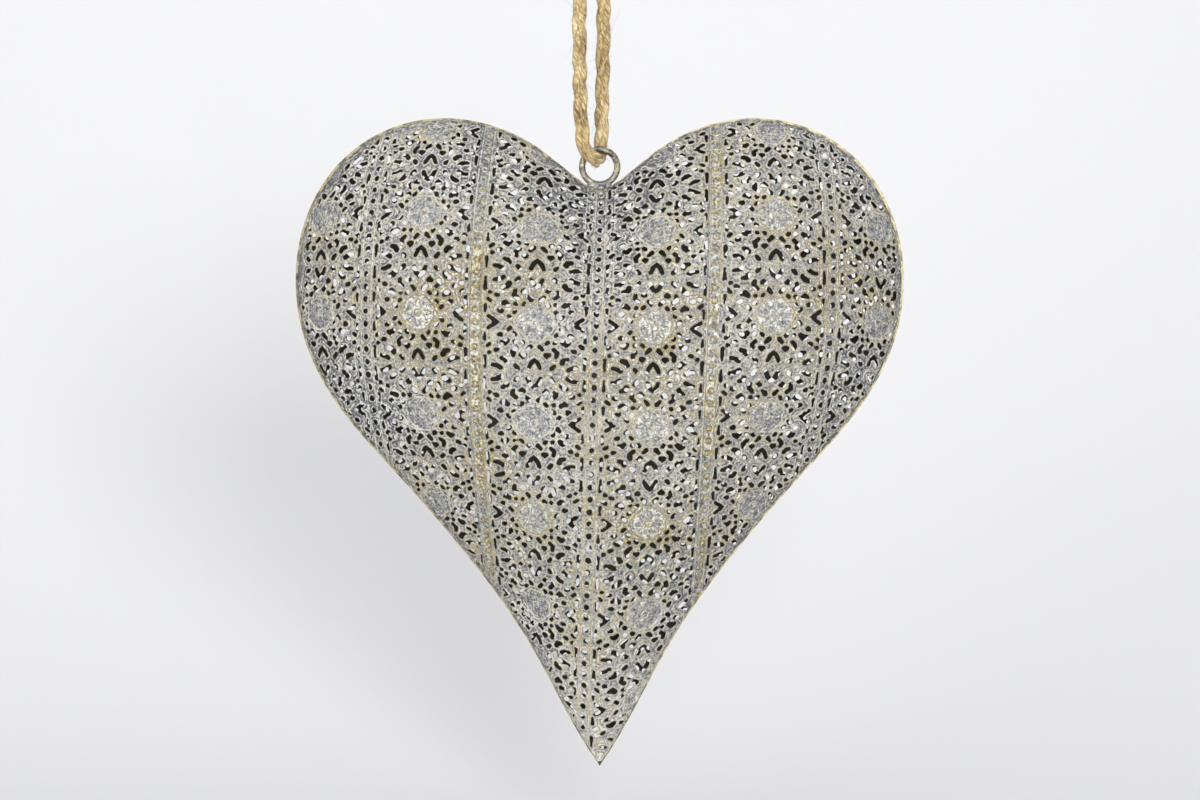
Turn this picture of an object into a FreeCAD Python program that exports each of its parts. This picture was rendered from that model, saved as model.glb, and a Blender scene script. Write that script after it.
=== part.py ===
"""Hollow heart ornament of pressed tin sheet, hung by a soldered ring on a loop of jute cord.

Each of the two shells is pressed from three pierced strips of sheet that lap like roof tiles. A flat
brazed rim joins the shells edge to edge. A wire ring is soldered into the notch. The cord runs through
the ring, up both sides of the nail that carries it, and ends in one overhand knot.

The origin is where the cord loop rests on its nail. +Z is up, the front faces -Y and +X is to the
right of someone who looks at the front. Lengths are in millimetres.
"""
import FreeCAD, Part
import math
import os

Vector = FreeCAD.Vector

doc = FreeCAD.newDocument("heart_ornament")

# driving dimensions

SIZES = {
    # the heart
    "heart_width": 200.0,
    "heart_height": 213.0,
    "shell_depth": 31.0,
    "sheet_thickness": 0.6,
    "rim_thickness": 1.0,
    "rim_width": 1.6,
    "rim_lip": 0.7,
    "lap_width": 3.5,
    "lap_step": 1.2,
    # the grid of openings
    "opening_diameter": 8.0,
    "opening_pitch": 14.0,
    "opening_margin": 2.0,
    # the ring and its solder
    "ring_radius": 5.77,
    "ring_wire": 2.14,
    "ring_seat_gap": 0.15,
    "solder_thickness": 1.6,
    "solder_drop": 0.4,
    # the cord
    "cord_thickness": 4.4,
    "cord_clearance": 0.3,
    "nail_thickness": 3.9,
    "strand_top": 1.0,
    "strand_splay": 0.4,
    "ring_drop": 60.0,
    "ring_offset": 2.75,
    "front_strand_run": 6.15,
    "front_strand_rise": 11.5,
    "back_strand_run": 0.75,
    "back_strand_rise": 13.5,
    "knot_rise": 13.5,
    "knot_sink": 3.0,
    "knot_ball": 12.0,
    "wrap_radius": 4.9,
    "wrap_thickness": 5.2,
    "wrap_tilt": 24.0,
    "tail_length": 15.0,
    "tail_spacing": 4.8,
    "tail_angle": 14.0,
    # how far a cutting shape runs past what it cuts
    "overrun": 10.0,
}

sheet = doc.addObject("Spreadsheet::Sheet", "sizes")
for row, (name, value) in enumerate(SIZES.items(), start=1):
    sheet.set("A%d" % row, name)
    sheet.set("B%d" % row, str(value))
    sheet.setAlias("B%d" % row, name)
doc.recompute()


def size(name):
    """A driving dimension, read back from the sheet."""
    return float(getattr(sheet, name))


# half of the heart's outline, from the notch over the lobe and down the flank to the tip: share of the
# half width, share of the height, and how full the shell is behind that point
OUTLINE_SHARES = [
    (0.000, 0.886, 2.1),
    (0.092, 0.914, 2.2),
    (0.191, 0.951, 2.3),
    (0.349, 0.988, 2.7),
    (0.523, 1.000, 3.3),
    (0.695, 0.983, 3.8),
    (0.850, 0.934, 4.1),
    (0.962, 0.851, 4.0),
    (1.000, 0.747, 3.7),
    (0.963, 0.648, 3.2),
    (0.860, 0.557, 2.7),
    (0.642, 0.4385, 2.5),
    (0.418, 0.315, 2.4),
    (0.232, 0.191, 2.3),
    (0.089, 0.067, 2.2),
    (0.000, 0.000, 2.2),
]
# the shells swell towards a crown on the centre line, at this share of the height
CROWN_SHARE = 0.585
# the contour lines that a shell is lofted through, as shares of the way from the crown to the edge
CONTOUR_SHARES = [1.0, 0.94, 0.87, 0.78, 0.66, 0.52, 0.36, 0.2]
# how fast an average flank falls away, which spaces the contour lines
CONTOUR_POWER = 3.0
# the lap seams, as shares of the height, and of the half width to the left and to the right
SEAM_HEIGHT_SHARES = [1.066, 0.643, 0.221]
LEFT_SEAM_SHARES = [-0.356, -0.424, -0.356]
RIGHT_SEAM_SHARES = [0.362, 0.339, 0.2925]

# measures that follow from the driving dimensions, from the tip of the heart

half_width = size("heart_width") / 2
crown_height = CROWN_SHARE * size("heart_height")
base = size("rim_thickness") / 2
notch_height = OUTLINE_SHARES[0][1] * size("heart_height")
notch_run = OUTLINE_SHARES[1][0] * half_width
notch_climb = (OUTLINE_SHARES[1][1] - OUTLINE_SHARES[0][1]) * size("heart_height")
notch_slope = math.atan2(notch_climb, notch_run)
wire_radius = size("ring_wire") / 2
ring_outer = size("ring_radius") + wire_radius
ring_height = notch_height + (ring_outer + size("ring_seat_gap")) / math.cos(notch_slope)
tip_drop = size("ring_drop") + ring_height

# every piece of the heart is drawn from its tip, then hung in its place; a back piece is turned round
HUNG = FreeCAD.Placement(Vector(size("ring_offset"), 0, -tip_drop), FreeCAD.Rotation())
TURNED = FreeCAD.Placement(Vector(size("ring_offset"), 0, -tip_drop), FreeCAD.Rotation(Vector(0, 0, 1), 180))


def feature(kind, label):
    """A new object of the document, under its own label."""
    item = doc.addObject(kind, label)
    item.Label = label
    return item


def drawn(label, shape):
    """A feature that holds a shape worked out here."""
    item = feature("Part::Feature", label)
    item.Shape = shape
    return item


def bind(item, **cells):
    """Ties properties of a feature to expressions on the sheet; two underscores stand for a dot."""
    for name, text in cells.items():
        item.setExpression(name.replace("__", "."), text)
    return item


def boolean(kind, label, first, second, placement=None):
    """A cut, common or fuse of two features, moved to its place."""
    item = feature("Part::" + kind, label)
    item.Base = first
    item.Tool = second
    if placement:
        item.Placement = placement
    return item


def heart_wire(scale, contour=1.0, y=0.0):
    """A heart drawn at one height above the rim: the outline scaled about the crown, or a contour of it."""
    right = []
    for across_share, up_share, power in OUTLINE_SHARES:
        reach = scale * contour ** (CONTOUR_POWER / power)
        across = across_share * half_width * reach
        up = crown_height + (up_share * size("heart_height") - crown_height) * reach
        right.append(Vector(across, y, up))
    left = [Vector(-point.x, y, point.z) for point in reversed(right)]
    steps = [0.0]
    for first, second in zip(OUTLINE_SHARES, OUTLINE_SHARES[1:]):
        run = (second[0] - first[0]) * half_width
        climb = (second[1] - first[1]) * size("heart_height")
        steps.append(steps[-1] + math.hypot(run, climb))
    edges = []
    for points, places in ((right, steps), (left, [steps[-1] - step for step in reversed(steps)])):
        curve = Part.BSplineCurve()
        curve.interpolate(Points=points, Parameters=places)
        edges.append(curve.toShape())
    return Part.Wire(edges)


# the shells: one dome through its contour lines, and copies of it that are a sheet thickness apart

dome_scale = 1 - size("rim_lip") / half_width
contours = []
for number, share in enumerate(CONTOUR_SHARES):
    rise = size("shell_depth") * (1 - share ** CONTOUR_POWER)
    contours.append(drawn("contour_%d" % number, heart_wire(dome_scale, share, -base - rise)))


def dome(label, shift):
    """The solid dome of the front, moved along Y."""
    item = feature("Part::Loft", label)
    item.Sections = contours
    item.Solid = True
    item.Ruled = False
    bind(item, Placement__Base__y=shift)
    return item


outer_dome = dome("outer_dome", "0 * sizes.sheet_thickness")
inner_dome = dome("inner_dome", "sizes.sheet_thickness")
lap_dome = dome("lap_dome", "-sizes.sheet_thickness")
skin = boolean("Cut", "skin", outer_dome, inner_dome)
lap_skin = boolean("Cut", "lap_skin", lap_dome, outer_dome)

# the blanks that the strips are cut to, seen from the front


def seam(shares, shift):
    """A lap seam as an arc from above the heart to below where it leaves the flank, moved sideways."""
    points = []
    for across_share, up_share in zip(shares, SEAM_HEIGHT_SHARES):
        points.append(Vector(across_share * half_width + shift, 0, up_share * size("heart_height")))
    return points


def border_points(border, side):
    """One border of a blank from above the heart to below it, along the seam if it has one."""
    high = SEAM_HEIGHT_SHARES[0] * size("heart_height") + size("overrun")
    low = -size("overrun")
    if not border:
        return [Vector(side, 0, high), Vector(side, 0, low)]
    return [Vector(border[0].x, 0, high)] + border + [Vector(border[-1].x, 0, low)]


def border_edges(line):
    """The edges of one border: straight, or an arc between two short straights."""
    if len(line) == 2:
        return [Part.LineSegment(*line).toShape()]
    top, first, middle, last, bottom = line
    return [
        Part.LineSegment(top, first).toShape(),
        Part.Arc(first, middle, last).toShape(),
        Part.LineSegment(last, bottom).toShape(),
    ]


def blank(label, left, right):
    """A block of stock between two borders, each three points of a seam, or None for the heart's side."""
    side = half_width + size("overrun")
    left_line = border_points(left, -side)
    right_line = border_points(right, side)
    edges = border_edges(left_line) + border_edges(right_line)
    edges.append(Part.LineSegment(left_line[0], right_line[0]).toShape())
    edges.append(Part.LineSegment(left_line[-1], right_line[-1]).toShape())
    face = drawn(label + "_face", Part.Face(Part.Wire(Part.sortEdges(edges)[0])))
    block = feature("Part::Extrusion", label)
    block.Base = face
    block.DirMode = "Custom"
    block.Dir = Vector(0, -1, 0)
    block.Solid = True
    bind(block, LengthFwd="sizes.shell_depth + sizes.overrun")
    return block


lap = size("lap_width")
step = lap + size("lap_step")
left_blank = blank("left_blank", None, seam(LEFT_SEAM_SHARES, lap))
centre_blank = blank("centre_blank", seam(LEFT_SEAM_SHARES, lap), seam(RIGHT_SEAM_SHARES, lap))
right_blank = blank("right_blank", seam(RIGHT_SEAM_SHARES, lap), None)
left_lap_blank = blank("left_lap_blank", seam(LEFT_SEAM_SHARES, 0), seam(LEFT_SEAM_SHARES, step))
right_lap_blank = blank("right_lap_blank", seam(RIGHT_SEAM_SHARES, 0), seam(RIGHT_SEAM_SHARES, step))

# the openings: a plain staggered grid in the place of the fine pierced pattern


def opening_places():
    """The centres of the openings that lie clear of the outline and of the laps, seen from the front."""
    pitch = size("opening_pitch")
    clearance = size("opening_diameter") / 2 + size("opening_margin")
    heart = Part.Face(heart_wire(1.0))
    limits = [heart_wire(1.0)]
    for shares in (LEFT_SEAM_SHARES, RIGHT_SEAM_SHARES):
        limits += [Part.Arc(*seam(shares, shift)).toShape() for shift in (0, step)]
    columns = math.ceil(half_width / pitch)
    rows = math.ceil(size("heart_height") / pitch)
    places = []
    for column in range(-columns, columns):
        for row in range(-rows, rows):
            stagger = column % 2 / 2
            place = Vector((column + 1 / 2) * pitch, 0, crown_height + (row + stagger) * pitch)
            spot = Part.Vertex(place)
            inside = spot.distToShape(heart)[0] < clearance
            if inside and all(spot.distToShape(limit)[0] > clearance for limit in limits):
                places.append(place)
    return places


disks = []
for place in opening_places():
    circle = Part.Circle(place, Vector(0, 1, 0), size("opening_diameter") / 2)
    disks.append(Part.Face(Part.Wire(circle.toShape())))
opening_faces = drawn("opening_faces", Part.makeCompound(disks))
openings = feature("Part::Extrusion", "openings")
openings.Base = opening_faces
openings.DirMode = "Custom"
openings.Dir = Vector(0, -1, 0)
openings.Solid = True
bind(openings, LengthFwd="sizes.shell_depth + sizes.overrun")
pierced_skin = boolean("Cut", "pierced_skin", skin, openings)

centre_sheet = boolean("Common", "centre_sheet", pierced_skin, centre_blank)
centre_lap = boolean("Common", "centre_lap", lap_skin, left_lap_blank)
right_sheet = boolean("Common", "right_sheet", pierced_skin, right_blank)
right_lap = boolean("Common", "right_lap", lap_skin, right_lap_blank)

nodes = []
for side, placement in (("front", HUNG), ("back", TURNED)):
    nodes.append(boolean("Common", side + "_left_strip", pierced_skin, left_blank, placement))
    nodes.append(boolean("Fuse", side + "_centre_strip", centre_sheet, centre_lap, placement))
    nodes.append(boolean("Fuse", side + "_right_strip", right_sheet, right_lap, placement))

# the brazed rim: a flat band in the shape of the outline, which both shells stand on

rim_scale = 1 - size("rim_width") / half_width
rim_wires = [heart_wire(1.0), heart_wire(rim_scale)]
rim_face = drawn("rim_face", Part.makeFace(rim_wires, "Part::FaceMakerBullseye"))
rim_seam = feature("Part::Extrusion", "rim_seam")
rim_seam.Base = rim_face
rim_seam.DirMode = "Custom"
rim_seam.Dir = Vector(0, 1, 0)
rim_seam.Solid = True
rim_seam.Symmetric = True
bind(rim_seam, LengthFwd="sizes.rim_thickness")
rim_seam.Placement = HUNG
nodes.append(rim_seam)

# the ring, which stands in the notch in the plane of the rim

hanging_ring = feature("Part::Torus", "hanging_ring")
bind(hanging_ring, Radius1="sizes.ring_radius", Radius2="sizes.ring_wire / 2")
hanging_ring.Placement = FreeCAD.Placement(
    Vector(size("ring_offset"), 0, -size("ring_drop")), FreeCAD.Rotation(Vector(1, 0, 0), 90)
)
nodes.append(hanging_ring)

# the solder that fills the notch under the ring

touch_height = ring_height - ring_outer * math.cos(notch_slope) - size("solder_drop")
wedge_half = (touch_height - notch_height + size("overrun")) / math.tan(notch_slope)
wedge_points = [
    Vector(-wedge_half, 0, touch_height),
    Vector(wedge_half, 0, touch_height),
    Vector(0, 0, notch_height - size("overrun")),
]
wedge_face = drawn("wedge_face", Part.Face(Part.makePolygon(wedge_points + wedge_points[:1])))
heart_face = drawn("heart_face", Part.Face(heart_wire(1.0)))
blocks = []
for label, face, reach in (
    ("wedge", wedge_face, "sizes.solder_thickness"),
    ("heart_block", heart_face, "sizes.solder_thickness + sizes.overrun"),
):
    block = feature("Part::Extrusion", label)
    block.Base = face
    block.DirMode = "Custom"
    block.Dir = Vector(0, 1, 0)
    block.Solid = True
    block.Symmetric = True
    bind(block, LengthFwd=reach)
    block.Placement = HUNG
    blocks.append(block)
open_wedge = boolean("Cut", "open_wedge", blocks[0], blocks[1])
ring_solder = boolean("Cut", "ring_solder", open_wedge, hanging_ring)
nodes.append(ring_solder)

# the cord: down in front of the ring, round under its wire and up behind it

cord_radius = size("cord_thickness") / 2
strand_x = size("nail_thickness") / 2 + cord_radius
strand_y = wire_radius + cord_radius + size("cord_clearance")
# degrees round the wire, and the angle of the ring at which the cord is there
BIGHT_TURN = 45
BIGHT = [(0, 140), (45, 126), (90, 112), (135, 98), (180, 85)]
# a corner of the route stands this much further out than the bend that it makes round the wire
bend_corner = strand_y / math.cos(math.radians(BIGHT_TURN / 2))


def round_wire(turn, angle):
    """A corner of the route round the ring's wire: turned so far round it, at this angle of the ring."""
    reach = size("ring_radius") - bend_corner * math.sin(math.radians(turn))
    return Vector(
        size("ring_offset") + reach * math.cos(math.radians(angle)),
        -bend_corner * math.cos(math.radians(turn)),
        -size("ring_drop") + reach * math.sin(math.radians(angle)),
    )


def beside_ring(run, rise, y):
    """A point of the route so far to the right of the ring's centre and above it."""
    return Vector(size("ring_offset") + run, y, rise - size("ring_drop"))


knot_entry = size("knot_rise") - size("knot_sink")
entry_x = cord_radius - size("cord_clearance")
route = [
    Vector(-entry_x, 0, knot_entry),
    Vector(-strand_x, -size("strand_splay"), size("strand_top")),
    beside_ring(-size("front_strand_run"), size("front_strand_rise"), -strand_y),
]
route += [round_wire(turn, angle) for turn, angle in BIGHT]
route += [
    beside_ring(size("back_strand_run"), size("back_strand_rise"), strand_y),
    Vector(strand_x, size("strand_splay"), size("strand_top")),
    Vector(entry_x, 0, knot_entry),
]


# an arc takes this share of the shorter of its two runs
ARC_SHARE = 0.45


def tube(points, radius):
    """A round tube along straight runs that tangent arcs join; also its length and the arcs' radii."""
    edges = []
    radii = []
    last = points[0]
    for before, corner, after in zip(points, points[1:], points[2:]):
        incoming = (corner - before).normalize()
        outgoing = (after - corner).normalize()
        half_turn = incoming.getAngle(outgoing) / 2
        reach = ARC_SHARE * min((corner - before).Length, (after - corner).Length)
        start = corner - incoming * reach
        end = corner + outgoing * reach
        bend = reach / math.tan(half_turn)
        radii.append(bend)
        middle_way = (outgoing - incoming).normalize()
        centre = corner + middle_way * (bend / math.cos(half_turn))
        middle = centre - middle_way * bend
        edges.append(Part.LineSegment(last, start).toShape())
        edges.append(Part.Arc(start, middle, end).toShape())
        last = end
    edges.append(Part.LineSegment(last, points[-1]).toShape())
    path = Part.Wire(edges)
    circle = Part.Circle(points[0], points[1] - points[0], radius)
    pipe = path.makePipeShell([Part.Wire(circle.toShape())], True, False, 2)
    return pipe, path, radii


cord_shape, cord_path, cord_radii = tube(route, cord_radius)
hanging_cord = drawn("hanging_cord", cord_shape)
nodes.append(hanging_cord)

# the overhand knot above the nail, and the two cut ends that stand out of it

knot_ball = feature("Part::Sphere", "knot_ball")
bind(knot_ball, Radius="sizes.knot_ball / 2", Placement__Base__z="sizes.knot_rise")
knot_wrap = feature("Part::Torus", "knot_wrap")
wrap_lean = FreeCAD.Rotation(Vector(0, 1, 0), size("wrap_tilt"))
knot_wrap.Placement = FreeCAD.Placement(Vector(0, 0, size("knot_rise")), wrap_lean)
bind(knot_wrap, Radius1="sizes.wrap_radius", Radius2="sizes.wrap_thickness / 2")
knot_body = boolean("Fuse", "knot_body", knot_ball, knot_wrap)
tails = []
for label, way in (("left_tail", -1), ("right_tail", 1)):
    tail = feature("Part::Cylinder", label)
    bind(tail, Radius="sizes.cord_thickness / 2", Height="sizes.tail_length")
    lean = FreeCAD.Rotation(Vector(0, 1, 0), way * size("tail_angle"))
    tail.Placement = FreeCAD.Placement(Vector(way * size("tail_spacing") / 2, 0, size("knot_rise")), lean)
    tails.append(tail)
tail_pair = boolean("Fuse", "tail_pair", tails[0], tails[1])
cord_knot = boolean("Fuse", "cord_knot", knot_body, tail_pair)
nodes.append(cord_knot)

doc.recompute()

# checks, then one file for each piece

for item in doc.Objects:
    if "Invalid" in item.State or "Error" in item.State:
        raise RuntimeError("%s failed: %s" % (item.Label, item.State))
for node in nodes:
    if node.Shape.isNull() or not node.Shape.isValid():
        raise RuntimeError("%s has no valid shape" % node.Label)

ring_circle = Part.Circle(
    Vector(size("ring_offset"), 0, -size("ring_drop")), Vector(0, 1, 0), size("ring_radius")
).toShape()
gap = cord_path.distToShape(ring_circle)[0] - cord_radius - wire_radius
plain_volume = math.pi * cord_radius**2 * cord_path.Length
print("cord radii", [round(radius, 1) for radius in cord_radii], "length", round(cord_path.Length, 1))
print("cord volume", round(cord_shape.Volume, 1), "of", round(plain_volume, 1))
print("gap from the cord to the ring", round(gap, 2))
print("ring centre above the tip", round(ring_height, 2), "notch", round(notch_height, 2))
print("openings in each shell", len(disks))
for node in nodes:
    box = node.Shape.BoundBox
    print(
        "%-20s solids %d faces %d volume %.1f x %.1f..%.1f y %.1f..%.1f z %.1f..%.1f"
        % (
            node.Label,
            len(node.Shape.Solids),
            len(node.Shape.Faces),
            node.Shape.Volume,
            box.XMin,
            box.XMax,
            box.YMin,
            box.YMax,
            box.ZMin,
            box.ZMax,
        )
    )

os.makedirs("parts", exist_ok=True)
for node in nodes:
    node.Shape.exportStep("parts/%s.step" % node.Label)
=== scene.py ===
"""A hollow heart of pierced, embossed tin hung on a loop of jute cord, dressed for its picture.

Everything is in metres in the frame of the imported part: +Z up, the front faces -Y, and the origin is
where the loop of cord rests on its nail. Shapes are worked out in millimetres and scaled once.
"""

import math
from functools import partial

import bpy
import numpy as np
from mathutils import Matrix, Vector
from mathutils.geometry import delaunay_2d_cdt
from mathutils.kdtree import KDTree


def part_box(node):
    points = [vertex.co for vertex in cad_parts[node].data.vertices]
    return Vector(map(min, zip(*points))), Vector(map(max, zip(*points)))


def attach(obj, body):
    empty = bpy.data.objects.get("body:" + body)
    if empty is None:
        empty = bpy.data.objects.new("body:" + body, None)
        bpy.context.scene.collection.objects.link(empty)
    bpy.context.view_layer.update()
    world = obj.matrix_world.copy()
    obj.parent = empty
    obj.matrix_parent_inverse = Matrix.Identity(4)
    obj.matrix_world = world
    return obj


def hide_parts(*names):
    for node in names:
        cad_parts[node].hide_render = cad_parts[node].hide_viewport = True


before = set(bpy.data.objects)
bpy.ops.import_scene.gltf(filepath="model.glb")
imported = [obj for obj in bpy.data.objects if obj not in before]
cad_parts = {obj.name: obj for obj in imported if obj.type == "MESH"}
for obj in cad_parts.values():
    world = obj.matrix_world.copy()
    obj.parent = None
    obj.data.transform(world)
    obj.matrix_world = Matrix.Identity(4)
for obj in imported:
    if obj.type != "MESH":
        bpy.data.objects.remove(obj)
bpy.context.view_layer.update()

MM = 0.001
rim_low, rim_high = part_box("rim_seam")
ring_low, ring_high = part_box("hanging_ring")
TIP = np.array([(rim_low.x + rim_high.x) / 2, 0.0, rim_low.z])
RING = (ring_low + ring_high) / 2
random = np.random.default_rng(22)

# the picture's size, its scale at the heart's middle plane, and where the ring's centre is in it
PHOTO_WIDTH_PX = 1200
PHOTO_HEIGHT_PX = 800
MM_PER_PX = 0.329
RING_PX = (599.7, 166.8)
CAMERA_DISTANCE = 1.25
SENSOR = 36.0

camera_data = bpy.data.cameras.new("camera")
camera = bpy.data.objects.new("camera", camera_data)
bpy.context.scene.collection.objects.link(camera)
camera_data.sensor_width = SENSOR
camera_data.lens = SENSOR * CAMERA_DISTANCE / (PHOTO_WIDTH_PX * MM_PER_PX * MM)
camera.location = (
    RING.x + (PHOTO_WIDTH_PX / 2 - RING_PX[0]) * MM_PER_PX * MM,
    -CAMERA_DISTANCE,
    RING.z - (PHOTO_HEIGHT_PX / 2 - RING_PX[1]) * MM_PER_PX * MM,
)
camera.rotation_euler = (math.pi / 2, 0, 0)
bpy.context.scene.camera = camera


# materials


def hex_colour(code):
    """An sRGB hex colour as linear red, green, blue and alpha."""
    channels = []
    for start in (1, 3, 5):
        share = int(code[start : start + 2], 16) / 255
        channels.append(share / 12.92 if share <= 0.04045 else ((share + 0.055) / 1.055) ** 2.4)
    return (*channels, 1.0)


def add_node(tree, kind, inputs=(), stops=(), **settings):
    """Adds a node with its settings, a value or a link for each input, and the stops of a ramp.

    The inputs are a row in the node's own order or are given by name. The node's outputs come back.
    """
    node = tree.nodes.new("ShaderNode" + kind)
    for name, value in settings.items():
        setattr(node, name, value)
    for name, value in inputs.items() if isinstance(inputs, dict) else enumerate(inputs):
        if isinstance(value, bpy.types.NodeSocket):
            tree.links.new(value, node.inputs[name])
        else:
            node.inputs[name].default_value = value
    if stops:
        points = node.color_ramp.elements
        while len(points) < len(stops):
            points.new(0.5)
        for point, (place, colour) in zip(points, stops):
            point.position = place
            point.color = hex_colour(colour)
    return node.outputs


def finish(surface_of):
    """A material named for the function that says what its surface is like.

    That function gets one that adds nodes to the material, and gives back the shader's inputs.
    """
    material = bpy.data.materials.new(surface_of.__name__)
    material.use_nodes = True
    material.node_tree.nodes.clear()
    add = partial(add_node, material.node_tree)
    shader = add("BsdfPrincipled", surface_of(add))
    add("OutputMaterial", {"Surface": shader["BSDF"]})
    return material


def per_metre(millimetres):
    """The scale of a noise whose features are this wide."""
    return 1 / (millimetres * MM)


def layered(add, start, *layers):
    """A start, a number or a socket, and on it each layer times its share."""
    total = start
    for layer, share in layers:
        total = add("Math", (layer, share, total), operation="MULTIPLY_ADD")[0]
    return total


def distance_of(add, across, up):
    """How far a point is from where both of its measures are nought."""
    point = add("CombineXYZ", (across, up))[0]
    return add("VectorMath", (point,), operation="LENGTH")["Value"]


def line_at(add, distance, place, width):
    """One where a distance is at a place, falling softly to nothing this far from it."""
    off = add("Math", (distance, place), operation="SUBTRACT")[0]
    off = add("Math", (off,), operation="ABSOLUTE")[0]
    fall = {"Value": off, "From Max": width, "To Min": 1.0, "To Max": 0.0}
    return add("MapRange", fall, interpolation_type="SMOOTHSTEP")["Result"]


# the pierced pattern's cell in millimetres of sheet, the dots of a band in one cell, the petals of a
# medallion, and how far the lips of the openings wander
CELL_U = 37.5
CELL_V = 32.1
HALF_U = CELL_U / 2
DOTS = 8
PETALS = 8
LIP_WANDER = 1.3


def embossed_lines(add, pattern, unevenness):
    """The fine raised lines of the pattern: petals and rings of the medallions, rings of the bands, lips.

    The medallions stand higher than the ground round them, so their whole tops are rubbed a little. The
    second result is one on the plain band beside a lap, which is rubbed most.
    """
    parts = add("SeparateXYZ", (pattern,))
    band = add("Math", (parts["X"], HALF_U), operation="PINGPONG")[0]
    across = add("Math", (HALF_U, band), operation="SUBTRACT")[0]
    up = add("Math", (parts["Y"], CELL_V / 2), operation="PINGPONG")[0]
    from_middle = distance_of(add, across, up)
    spin = add("Math", (up, across), operation="ARCTAN2")[0]
    waves = []
    for count in (PETALS, 2 * PETALS):
        turn = add("Math", (spin, count), operation="MULTIPLY")[0]
        waves.append(add("Math", (turn,), operation="COSINE")[0])
    petal = layered(add, from_middle, (waves[0], -1.05))
    scallop = layered(add, from_middle, (waves[0], 0.35))
    outer = layered(add, from_middle, (waves[1], 0.3))
    # every second band is plain, and has small rings down its middle
    from_row = add("Math", (parts["Y"], CELL_V / DOTS / 2), operation="PINGPONG")[0]
    from_ring = distance_of(add, band, from_row)
    over_two_cells = add("Math", (parts["X"], CELL_U), operation="PINGPONG")[0]
    plain = add("Math", (over_two_cells, HALF_U), operation="GREATER_THAN")[0]
    small_ring = add("Math", (line_at(add, from_ring, 0.85, 0.5), plain), operation="MULTIPLY")[0]
    in_band = add("MapRange", {"Value": band, "From Min": 1.9, "From Max": 1.3})["Result"]
    seam_band = add("Math", (in_band, plain), operation="MULTIPLY")[0]
    band_top = add("Math", (seam_band, 0.06), operation="MULTIPLY")[0]
    medallion = {"Value": from_middle, "From Min": 8.4, "From Max": 7.4, "To Max": 0.05}
    medallion_top = add("MapRange", medallion)["Result"]
    # the lips round the openings wander, because no two were punched alike
    from_opening = layered(add, -LIP_WANDER / 2, (unevenness, LIP_WANDER), (parts["Z"], 1.0))
    raised = [small_ring, medallion_top, band_top]
    # each line: what its place is measured from, that place and half the line's width in millimetres
    for distance, place, width in (
        (from_middle, 1.1, 0.45),
        (petal, 3.3, 0.5),
        (scallop, 5.6, 0.5),
        (outer, 6.9, 0.45),
        (outer, 8.4, 0.4),
        (band, 1.75, 0.45),
        (band, 4.9, 0.4),
        (from_opening, 0.30, 0.40),
        (from_opening, 1.25, 0.36),
    ):
        raised.append(line_at(add, distance, place, width))
    total = 0.0
    for height in raised:
        total = add("Math", (total, height), operation="MAXIMUM")[0]
    return total, seam_band


# how dark the wash is as a whole
WASH_DARKNESS = 0.309


def washed_tin(add):
    """Thin tin plate under gold lacquer, brushed with a chalky grey wash and rubbed back.

    The wash lies dark and dull in the hollows and pale on the flats, and gold glints on raised lines. Painted
    shade darkens the steep flanks, and painted light brightens the tip.
    """
    coordinates = add("TexCoord")
    place = coordinates["Object"]
    pattern = add("Attribute", attribute_name="pattern")["Vector"]
    # the unevenness of the wash: wide patches, the marks of the brush and flecks
    grains = []
    for width, detail, roughness in ((30, 3.0, 0.5), (1.9, 6.0, 0.7), (0.8, 3.0, 0.7)):
        grain = {"Vector": place, "Scale": per_metre(width), "Detail": detail, "Roughness": roughness}
        grains.append(add("TexNoise", grain)["Fac"])
    patches, brushing, flecks = grains
    # the raised lines, blurred and broken by wear
    wear = {"Value": brushing, "From Min": 0.34, "From Max": 0.50, "To Min": 0.40}
    lines, seam_band = embossed_lines(add, pattern, brushing)
    raised = add("Math", (lines, add("MapRange", wear)["Result"]), operation="MULTIPLY")[0]
    # painted shade: the steep flanks, which turn away from the front, are darker than the crown, and the
    # crown is also rubbed through a little more; painted light brightens the tip and the six centimetres
    # above it
    facing = add("SeparateXYZ", (coordinates["Normal"],))["Y"]
    facing = add("Math", (facing,), operation="ABSOLUTE")[0]
    crown = {"Value": facing, "From Min": 0.45, "To Min": -0.10, "To Max": 0.03}
    facing_shade_and_wear = add("MapRange", crown)["Result"]
    height = add("SeparateXYZ", (place,))["Z"]
    tip = {"Value": height, "From Min": TIP[2], "From Max": TIP[2] + 60 * MM, "To Min": 0.13, "To Max": 0.0}
    painted_tip_light = add("MapRange", tip)["Result"]
    # the tone of the wash: paler on the raised lines and dark where it pooled beside them, with the painted
    # shade of the flanks and the painted light of the tip
    tone = layered(add, -WASH_DARKNESS, (raised, 0.25), (brushing, 0.60), (flecks, 0.75), (patches, 0.22))
    tone = layered(add, tone, (facing_shade_and_wear, 1.0), (painted_tip_light, 1.0))
    wash_tones = [(0.36, "#4B4C50"), (0.47, "#8B8C8E"), (0.56, "#BAB9B3"), (0.66, "#F0EDE4")]
    wash = add("ValToRGB", (tone,), wash_tones)["Color"]
    gold_tones = [(0.36, "#605232"), (0.49, "#AF9B5D"), (0.60, "#E6D7A6")]
    gold = add("ValToRGB", (flecks,), gold_tones)["Color"]
    # how far the wash is rubbed through: on raised lines, more in some patches, in small flecks
    rubbed = layered(add, facing_shade_and_wear, (patches, 0.6), (raised, 0.36), (flecks, 0.9), (seam_band, 0.14))
    through = {"Value": rubbed, "From Min": 0.91, "From Max": 1.17}
    bare = add("MapRange", through, interpolation_type="SMOOTHSTEP")["Result"]
    relief = layered(add, raised, (brushing, 1.2), (flecks, 0.9))
    return {
        "Base Color": add("Mix", {0: bare, 6: wash, 7: gold}, data_type="RGBA")[2],
        "Metallic": add("Math", (bare, 0.7), operation="MULTIPLY")[0],
        "Roughness": add("MapRange", {"Value": bare, "To Min": 0.46, "To Max": 0.32})["Result"],
        "Normal": add("Bump", {"Height": relief, "Strength": 1.0, "Distance": 0.45 * MM})["Normal"],
    }


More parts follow.
